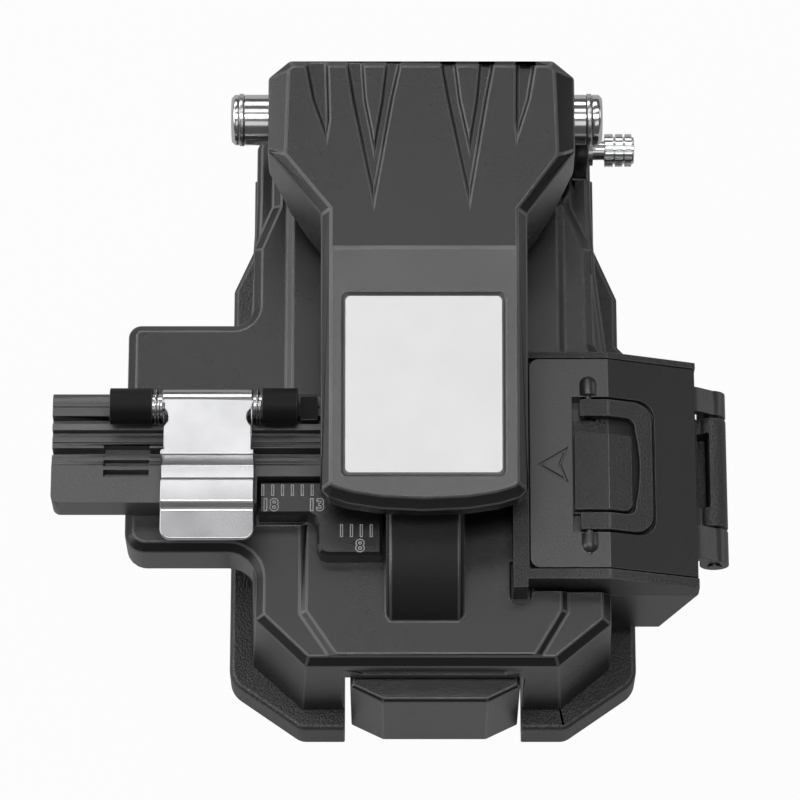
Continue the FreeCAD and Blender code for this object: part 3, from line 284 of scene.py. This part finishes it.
DARK_STEEL = machined("black_oxide_steel", colour=(0.10, 0.10, 0.105), rubbed=(0.16, 0.16, 0.165),
                      roughness=0.36, line_ratio=(0.06, 1, 0.06), line_scale=2400.0, line_depth=0.004)
GROUND = machined("ground_blade", colour=(0.42, 0.43, 0.45), rubbed=(0.52, 0.53, 0.55),
                  roughness=0.2, line_ratio=(1, 0.2, 0.2), line_scale=3000.0, line_depth=0.003)
SPRING = machined("spring_wire", colour=(0.45, 0.45, 0.46), rubbed=(0.6, 0.6, 0.61),
                  roughness=0.24, line_ratio=(0.3, 1, 0.3), line_scale=2600.0, line_depth=0.003)
NICKEL = machined("nickel_magnet", colour=(0.66, 0.66, 0.65), rubbed=(0.72, 0.72, 0.71),
                  roughness=0.2, line_ratio=(1, 1, 0.1), line_scale=1500.0, line_depth=0.003)
FOIL = foil_sticker()

NODE_FINISH = {
    SATIN: ("main_body", "scale_plate", "push_tab", "bin_box", "lever_cover"),
    LID_PAINT: ("bin_lid",),
    GRAINY: ("base_plate", "bin_frame", "pull_ring"),
    ANODISED: ("fibre_guide", "carriage", "magnet_post"),
    RUBBER: ("anti_slip_mat", "lower_pads", "clamp_pad", "upper_pads"),
    CHROME: ("lever_axle", "lock_pin", "lock_knob"),
    CLAMP_CHROME: ("clamp_plate",),
    STEEL: ("lower_jaw_left", "lower_jaw_right", "axle_clips", "lock_bush", "blade_hub", "blade_nut",
            "blade_shaft", "guide_rail", "rail_block", "spring_rod", "clamp_pin", "upper_jaw_left",
            "upper_jaw_right", "anvil", "anvil_bush"),
    DARK_STEEL: ("base_screws", "guide_screws", "rail_screws", "slider_screws", "bin_hinge_pin",
                 "bin_screws", "ring_pins"),
    GROUND: ("cutting_wheel",),
    SPRING: ("return_spring", "clamp_springs", "anvil_spring"),
    NICKEL: ("body_magnet", "lever_magnet"),
    FOIL: ("label_plate",),
}
for finish, names in NODE_FINISH.items():
    for name in names:
        mesh = NODES[name].data
        mesh.materials.clear()
        mesh.materials.append(finish)


# Pieces

def settle(name, mesh, body, finish_slot, *stands_for):
    """Put a finished mesh in the scene on its body, in place of the nodes that it stands for."""
    piece = bpy.data.objects.new(name, mesh)
    scene.collection.objects.link(piece)
    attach(piece, body)
    if stands_for:
        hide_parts(*stands_for)
    return piece


# Limits for cleaning a node's mesh, in millimetres and degrees
MERGE_DISTANCE = 0.002
FLAT_ANGLE = 0.6
CREASE_ANGLE = 0.5
BROAD_FACE = 1.6


def mark_edges(bm, sharp_angle, soft_angle, facets):
    """Give a bevel weight to real edges, and leave the small facets of round surfaces alone.

    Angles are in degrees. With facets, slight creases between two broad faces stay crisp.
    """
    weights = bm.edges.layers.float.new("bevel_weight_edge")
    for edge in bm.edges:
        if len(edge.link_faces) != 2:
            continue
        angle = math.degrees(edge.calc_face_angle(0.0))
        length = max(edge.calc_length(), 1e-7)
        widths = [face.calc_area() / length for face in edge.link_faces]
        broad = min(widths) > BROAD_FACE * MM
        if angle >= sharp_angle or (angle >= soft_angle and broad):
            edge[weights] = 1.0
        elif facets and angle > CREASE_ANGLE and broad:
            edge.smooth = False


def dressed(node, finish, edge_finish, finish_slot, width, segments=2, sharp_angle=24.0, soft_angle=4.5,
            facets=True, patches=()):
    """Merged copy of a node with rounded edges whose bevel faces take the edge finish, for the paints a
    lighter colour as a painted highlight along the edges; a patch gives faces in a box a finish.
    """
    mesh = NODES[node].data.copy()
    mesh.name = node + "_shell"
    bm = bmesh.new()
    bm.from_mesh(mesh)
    bmesh.ops.remove_doubles(bm, verts=bm.verts, dist=MERGE_DISTANCE * MM)
    bmesh.ops.dissolve_limit(bm, angle_limit=math.radians(FLAT_ANGLE), verts=bm.verts, edges=bm.edges)
    mark_edges(bm, sharp_angle, soft_angle, facets)
    for face in bm.faces:
        face.smooth = True
        face.material_index = 0
        for index, (_, low, high) in enumerate(patches, start=2):
            spot = face.calc_center_median()
            if all(low[axis] * MM < spot[axis] < high[axis] * MM for axis in range(3)):
                face.material_index = index
    mesh.materials.clear()
    for surface in (finish, edge_finish, *(patch[0] for patch in patches)):
        mesh.materials.append(surface)
    bm.to_mesh(mesh)
    bm.free()
    body = NODES[node]["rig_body"]
    piece = settle(node + "_shell", mesh, body, finish_slot, node)
    bevel = piece.modifiers.new("rounded_edges", "BEVEL")
    bevel.limit_method = "WEIGHT"
    bevel.width = width * MM
    bevel.segments = segments
    bevel.use_clamp_overlap = False
    # The bevel faces take the second finish, for the paints a lighter colour that is a painted highlight
    # along the edges.
    bevel.material = 1
    even = piece.modifiers.new("even_shading", "WEIGHTED_NORMAL")
    even.mode = "FACE_AREA"
    even.weight = 100
    even.keep_sharp = True


HOOD_BOX = ((-4.8, -26, 21.5), (2.9, -11, 26))
BARREL_BOX = ((-33, -5.5, 25.05), (-11, -1, 29))
TONGUE_BOX = ((14.2, -13.5, 22.5), (20.2, -5.2, 24.6))

dressed("main_body", SATIN, SATIN_EDGE_HIGHLIGHT, "black_paint", width=0.16, patches=[(HOOD_PAINT, *HOOD_BOX)])
dressed("lever_cover", SATIN, SATIN_EDGE_HIGHLIGHT, "black_paint", width=0.2, soft_angle=9.0, facets=False)
dressed("base_plate", GRAINY, GRAINY_EDGE_HIGHLIGHT, "black_grain", width=0.14)
dressed("push_tab", SATIN, SATIN_EDGE_HIGHLIGHT, "black_paint", width=0.12)
dressed("fibre_guide", ANODISED, ANODISED_EDGE_HIGHLIGHT, "black_anodised", width=0.06,
        patches=[(BARREL_PAINT, *BARREL_BOX)])
dressed("bin_frame", GRAINY, GRAINY_EDGE_HIGHLIGHT, "black_grain", width=0.1)
dressed("bin_box", SATIN, SATIN_EDGE_HIGHLIGHT, "black_paint", width=0.14)
dressed("bin_lid", LID_PAINT, SATIN_EDGE_HIGHLIGHT, "black_paint", width=0.06, patches=[(GRAINY, *TONGUE_BOX)])
dressed("pull_ring", GRAINY, GRAINY_EDGE_HIGHLIGHT, "black_grain", width=0.14, segments=3)
dressed("clamp_plate", CLAMP_CHROME, CLAMP_CHROME, "chrome", width=0.16, segments=3, sharp_angle=12.0)
dressed("lever_axle", CHROME, CHROME, "chrome", width=0.08)
dressed("axle_clips", STEEL, STEEL, "steel", width=0.06)


# Repeated details grown with geometry nodes

def grow_tree(name, inputs):
    """Empty geometry tree with named inputs; returns the tree, its input node and a closing function."""
    tree = bpy.data.node_groups.new(name, "GeometryNodeTree")
    for socket, kind, value in inputs:
        made = tree.interface.new_socket(socket, in_out="INPUT", socket_type=kind)
        if value is not None:
            made.default_value = value
    tree.interface.new_socket("Geometry", in_out="OUTPUT", socket_type="NodeSocketGeometry")
    start = tree.nodes.new("NodeGroupInput")
    end = tree.nodes.new("NodeGroupOutput")

    def close(geometry, material):
        realised = tree.nodes.new("GeometryNodeRealizeInstances")
        painted = tree.nodes.new("GeometryNodeSetMaterial")
        tree.links.new(geometry, realised.inputs[0])
        tree.links.new(realised.outputs[0], painted.inputs["Geometry"])
        tree.links.new(material, painted.inputs["Material"])
        tree.links.new(painted.outputs[0], end.inputs[0])

    return tree, start, close


def spring_tree():
    """Round wire wound into a helix that rises along Z from the origin."""
    tree, start, close = grow_tree("wire_spring", [
        ("Turns", "NodeSocketFloat", 3.0), ("Coil Radius", "NodeSocketFloat", 0.0015),
        ("Wire Radius", "NodeSocketFloat", 0.0001), ("Length", "NodeSocketFloat", 0.001),
        ("Steps", "NodeSocketInt", 24), ("Material", "NodeSocketMaterial", None)])
    spiral = tree.nodes.new("GeometryNodeCurveSpiral")
    tree.links.new(start.outputs["Turns"], spiral.inputs["Rotations"])
    tree.links.new(start.outputs["Coil Radius"], spiral.inputs["Start Radius"])
    tree.links.new(start.outputs["Coil Radius"], spiral.inputs["End Radius"])
    tree.links.new(start.outputs["Length"], spiral.inputs["Height"])
    tree.links.new(start.outputs["Steps"], spiral.inputs["Resolution"])
    section = tree.nodes.new("GeometryNodeCurvePrimitiveCircle")
    section.inputs["Resolution"].default_value = 12
    tree.links.new(start.outputs["Wire Radius"], section.inputs["Radius"])
    wire = tree.nodes.new("GeometryNodeCurveToMesh")
    wire.inputs["Fill Caps"].default_value = True
    tree.links.new(spiral.outputs["Curve"], wire.inputs["Curve"])
    tree.links.new(section.outputs["Curve"], wire.inputs["Profile Curve"])
    close(wire.outputs["Mesh"], start.outputs["Material"])
    return tree


def knurl_tree():
    """Ring of straight ridges around Z."""
    tree, start, close = grow_tree("knurled_band", [
        ("Ridges", "NodeSocketInt", 24), ("Radius", "NodeSocketFloat", 0.0016),
        ("Ridge", "NodeSocketVector", (0.0003, 0.0003, 0.001)), ("Material", "NodeSocketMaterial", None)])
    ring = tree.nodes.new("GeometryNodeMeshCircle")
    tree.links.new(start.outputs["Ridges"], ring.inputs["Vertices"])
    tree.links.new(start.outputs["Radius"], ring.inputs["Radius"])
    ridge = tree.nodes.new("GeometryNodeMeshCube")
    tree.links.new(start.outputs["Ridge"], ridge.inputs["Size"])
    here = tree.nodes.new("GeometryNodeInputPosition")
    aim = tree.nodes.new("FunctionNodeAlignEulerToVector")
    aim.axis = "X"
    tree.links.new(here.outputs[0], aim.inputs["Vector"])
    placed = tree.nodes.new("GeometryNodeInstanceOnPoints")
    tree.links.new(ring.outputs["Mesh"], placed.inputs["Points"])
    tree.links.new(ridge.outputs["Mesh"], placed.inputs["Instance"])
    tree.links.new(aim.outputs["Rotation"], placed.inputs["Rotation"])
    close(placed.outputs["Instances"], start.outputs["Material"])
    return tree


def tick_tree():
    """Row of raised lines one pitch apart, from the origin."""
    tree, start, close = grow_tree("scale_ticks", [
        ("Count", "NodeSocketInt", 6), ("Pitch", "NodeSocketVector", (0.001, 0, 0)),
        ("Line", "NodeSocketVector", (0.00014, 0.001, 0.00004)), ("Material", "NodeSocketMaterial", None)])
    row = tree.nodes.new("GeometryNodeMeshLine")
    tree.links.new(start.outputs["Count"], row.inputs["Count"])
    tree.links.new(start.outputs["Pitch"], row.inputs["Offset"])
    line = tree.nodes.new("GeometryNodeMeshCube")
    tree.links.new(start.outputs["Line"], line.inputs["Size"])
    placed = tree.nodes.new("GeometryNodeInstanceOnPoints")
    tree.links.new(row.outputs["Mesh"], placed.inputs["Points"])
    tree.links.new(line.outputs["Mesh"], placed.inputs["Instance"])
    close(placed.outputs["Instances"], start.outputs["Material"])
    return tree


def grown(tree, place, turn=(0, 0, 0), **sizes):
    """Plain mesh that a tree makes from its named inputs, put in place."""
    carrier = bpy.data.objects.new("grown", bpy.data.meshes.new("grown"))
    scene.collection.objects.link(carrier)
    modifier = carrier.modifiers.new("grow", "NODES")
    modifier.node_group = tree
    wanted = {key.replace("_", " ").title(): value for key, value in sizes.items()}
    for item in tree.interface.items_tree:
        if item.in_out == "INPUT" and item.name in wanted:
            modifier[item.identifier] = wanted[item.name]
    bpy.context.view_layer.update()
    evaluated = carrier.evaluated_get(bpy.context.evaluated_depsgraph_get())
    mesh = bpy.data.meshes.new_from_object(evaluated)
    bpy.data.objects.remove(carrier)
    mesh.transform(Matrix.Translation(Vector(place)) @ Euler(turn).to_matrix().to_4x4())
    return mesh


def combined(name, meshes, finish, smooth=True):
    """One mesh with one finish out of several."""
    bm = bmesh.new()
    for mesh in meshes:
        bm.from_mesh(mesh)
    for face in bm.faces:
        face.material_index = 0
        face.smooth = smooth
    whole = bpy.data.meshes.new(name)
    bm.to_mesh(whole)
    bm.free()
    whole.materials.append(finish)
    return whole


def turned(profile, left, centre, steps=40):
    """Closed solid turned around an axis along X from (along, radius) corners."""
    bm = bmesh.new()
    rings = []
    for along, radius in profile:
        ring = []
        for step in range(steps):
            angle = 2 * math.pi * step / steps
            y = centre[0] + radius * math.cos(angle)
            z = centre[1] + radius * math.sin(angle)
            ring.append(bm.verts.new(metres(left + along, y, z)))
        rings.append(ring)
    for first, second in zip(rings, rings[1:]):
        for step in range(steps):
            after = (step + 1) % steps
            bm.faces.new((first[step], first[after], second[after], second[step]))
    bm.faces.new(rings[0])
    bm.faces.new(rings[-1])
    bmesh.ops.recalc_face_normals(bm, faces=bm.faces)
    mesh = bpy.data.meshes.new("turned")
    bm.to_mesh(mesh)
    bm.free()
    return mesh


SPRING_TREE = spring_tree()
KNURL_TREE = knurl_tree()
TICK_TREE = tick_tree()
ALONG_X = (0, math.radians(90), 0)
ALONG_Y = (math.radians(-90), 0, 0)
ALONG_Z = (0, 0, 0)
BLADE_X = 0.66


# Springs

def coil(start, turn, turns, radius, wire_radius, length, steps=32):
    """Wire spring whose axis begins at start; steps is the number of points in a turn."""
    return grown(SPRING_TREE, metres(*start), turn, turns=turns, coil_radius=radius * MM,
                 wire_radius=wire_radius * MM, length=length * MM, steps=steps, material=SPRING)


CLAMP_AXIS = (-3.25, 26.9)
clamp_coils = []
for spring_start in (-28.3, -18.05):
    clamp_coils.append(coil((spring_start, *CLAMP_AXIS), ALONG_X, turns=1.5, radius=1.65, wire_radius=0.12,
                            length=0.51))
settle("clamp_spring_coils", combined("clamp_spring_coils", clamp_coils, SPRING), "base", "spring_steel",
       "clamp_springs")
return_coil = coil((-11.8, 1.8, 12.0), ALONG_Y, turns=9.0, radius=1.4, wire_radius=0.275, length=21.9)
return_spring = settle("return_spring_coil", combined("return_spring_coil", [return_coil], SPRING), "base",
                       "spring_steel", "return_spring")
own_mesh(return_spring)
anvil_coil = coil((BLADE_X, -7.2, 26.75), ALONG_Z, turns=4.0, radius=0.85, wire_radius=0.1, length=1.52,
                  steps=28)
anvil_spring = settle("anvil_spring_coil", combined("anvil_spring_coil", [anvil_coil], SPRING), "lever",
                      "spring_steel", "anvil_spring")
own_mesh(anvil_spring)

# Knurled knob of the lock pin
KNOB_AXIS = (27.0, 22.0)
KNOB_LEFT = 17.9
KNOB_PROFILE = ((0, 1.2), (0.12, 1.42), (3.0, 1.42), (3.1, 1.3), (3.1, 0.5), (3.0, 0.4), (2.9, 0.05))
KNURL_BANDS = ((17.95, 18.8), (19.05, 19.8), (20.05, 20.72))
KNURL_RADIUS = 1.5
RIDGE_DEPTH = 0.42
RIDGE_WIDTH = 0.3
knob_parts = [turned(KNOB_PROFILE, KNOB_LEFT, KNOB_AXIS)]
for band_left, band_right in KNURL_BANDS:
    middle = (band_left + band_right) / 2
    ridge = metres(RIDGE_DEPTH, RIDGE_WIDTH, band_right - band_left)
    knob_parts.append(grown(KNURL_TREE, metres(middle, *KNOB_AXIS), ALONG_X, ridges=18,
                            radius=KNURL_RADIUS * MM, ridge=ridge, material=CHROME))
settle("knurled_knob", combined("knurled_knob", knob_parts, CHROME, smooth=False), "lock_pin", "chrome",
       "lock_knob")

# Raised scale: dark lines in light rims, a painted edge highlight, and plain numbers made alike. Its zero is
# at BLADE_X.
SCALE_PITCH = 1
RIM_LEVEL = 24.03
CORE_LEVEL = 24.06
RIM_WIDTH = 0.3
CORE_WIDTH = 0.12
TICK_HEIGHT = 0.06
TICK_INSET = 0.1
NUMBER_SIZE = 1.75
tick_highlight_rims = []
tick_cores = []
for first, count, front, rear in ((13, 6, -11.75, -10.75), (7, 4, -16.15, -15.0)):
    for rows, width, level in ((tick_highlight_rims, RIM_WIDTH, RIM_LEVEL), (tick_cores, CORE_WIDTH, CORE_LEVEL)):
        place = metres(BLADE_X - first, (front + rear) / 2, level)
        line = metres(width, rear - front + width - TICK_INSET, TICK_HEIGHT)
        pitch = metres(-SCALE_PITCH, 0, 0)
        rows.append(grown(TICK_TREE, place, count=count, pitch=pitch, line=line, material=SCALE_RIM_HIGHLIGHT))
settle("scale_line_highlight_rims", combined("scale_line_highlight_rims", tick_highlight_rims, SCALE_RIM_HIGHLIGHT, smooth=False), "base", "black_paint")
settle("scale_line_cores", combined("scale_line_cores", tick_cores, SATIN, smooth=False), "base",
       "black_paint")


def number(name, words, left, front):
    """Raised plain number on the scale plate: a dark face inside a light outline that is a painted edge
    highlight.
    """
    for part, fill, rim, finish in (("face", "BOTH", 0.0, SATIN), ("outline", "NONE", 0.06, SCALE_RIM_HIGHLIGHT)):
        curve = bpy.data.curves.new(name, "FONT")
        curve.body = words
        curve.size = NUMBER_SIZE * MM
        curve.offset = 0.05 * MM
        curve.fill_mode = fill
        curve.bevel_depth = rim * MM
        curve.extrude = 0.02 * MM
        holder = bpy.data.objects.new(name, curve)
        scene.collection.objects.link(holder)
        bpy.context.view_layer.update()
        evaluated = holder.evaluated_get(bpy.context.evaluated_depsgraph_get())
        mesh = bpy.data.meshes.new_from_object(evaluated)
        bpy.data.objects.remove(holder)
        mesh.transform(Matrix.Translation(Vector(metres(left, front, RIM_LEVEL))))
        mesh.materials.clear()
        mesh.materials.append(finish)
        settle(f"{name}_{part}", mesh, "base", "black_paint")


number("scale_number_18", "18", -17.5, -13.4)
number("scale_number_13", "13", -12.8, -13.4)
number("scale_number_8", "8", -7.9, -17.75)

# Floor, lamps and camera

FLOOR_HALF = 3
FLOOR_WHITE = 0.97
MIRRORED_SHARE = 0.23
ROOM_LIGHT = 0.09
corners = [(-FLOOR_HALF, -FLOOR_HALF, 0), (FLOOR_HALF, -FLOOR_HALF, 0), (FLOOR_HALF, FLOOR_HALF, 0),
           (-FLOOR_HALF, FLOOR_HALF, 0)]
floor_mesh = bpy.data.meshes.new("floor")
floor_mesh.from_pydata(corners, [], [(0, 1, 2, 3)])
floor = bpy.data.objects.new("floor", floor_mesh)
scene.collection.objects.link(floor)


def white_share(tree, share):
    """Share of plain white that camera rays see in full, and mirror and glass rays in part."""
    path = add(tree, "ShaderNodeLightPath")
    mirrored = math_node(tree, "MAXIMUM", path.outputs["Is Glossy Ray"], path.outputs["Is Transmission Ray"])
    mirrored = math_node(tree, "MULTIPLY", mirrored, MIRRORED_SHARE)
    seen = math_node(tree, "MAXIMUM", path.outputs["Is Camera Ray"], mirrored)
    return math_node(tree, "MULTIPLY", seen, share)


floor_finish, tree, shader, vector = new_material("white_table", 0.9)
tone(tree, shader, vector, (0.34, 0.34, 0.34), (0.36, 0.36, 0.36), roughness=0.9, spread=0.0, scale=2.0)
glow = add(tree, "ShaderNodeEmission")
glow.inputs["Strength"].default_value = 1.0
blend = add(tree, "ShaderNodeMixShader")
tree.links.new(white_share(tree, FLOOR_WHITE), blend.inputs["Fac"])
tree.links.new(shader.outputs["BSDF"], blend.inputs[1])
tree.links.new(glow.outputs[0], blend.inputs[2])
tree.links.new(blend.outputs[0], tree.nodes["Material Output"].inputs["Surface"])
floor_mesh.materials.append(floor_finish)

world = bpy.data.worlds.new("soft_room")
scene.world = world
world.use_nodes = True
world.node_tree.nodes["Background"].inputs["Color"].default_value = (1, 1, 1, 1)
world.node_tree.nodes["Background"].inputs["Strength"].default_value = ROOM_LIGHT


AIM = (0, 0, 0.02)


def panel(name, place, size, power):
    """Soft rectangular lamp that faces the object."""
    lamp = bpy.data.lights.new(name, "AREA")
    lamp.shape = "RECTANGLE"
    lamp.size, lamp.size_y = size
    lamp.energy = power
    holder = bpy.data.objects.new(name, lamp)
    holder.location = place
    holder.rotation_euler = (Vector(AIM) - Vector(place)).to_track_quat("-Z", "Y").to_euler()
    scene.collection.objects.link(holder)


panel("overhead_panel", (0.0, -0.07, 0.95), (0.6, 0.24), 2.4)
panel("rear_top_panel", (-0.05, 0.212, 0.55), (0.6, 0.13), 0.43)
panel("rear_panel", (-0.3, 0.85, 0.6), (0.8, 0.3), 3.0)
panel("left_panel", (-0.85, 0.08, 0.45), (0.9, 0.6), 4.2)
panel("front_fill", (0.12, -0.52, 0.75), (0.5, 0.3), 0.4)
panel("right_panel", (0.9, 0.25, 0.3), (0.4, 0.4), 0.7)

scene.view_settings.view_transform = "Standard"
camera_data = bpy.data.cameras.new("photo_camera")
camera_data.sensor_width = 36.0
camera_data.lens = 211.5
camera_data.clip_start = 0.01
camera = bpy.data.objects.new("photo_camera", camera_data)
camera.location = (-0.00343, -0.16567, 0.47505)
camera.rotation_euler = (math.radians(20), 0, 0)
scene.collection.objects.link(camera)
scene.camera = camera
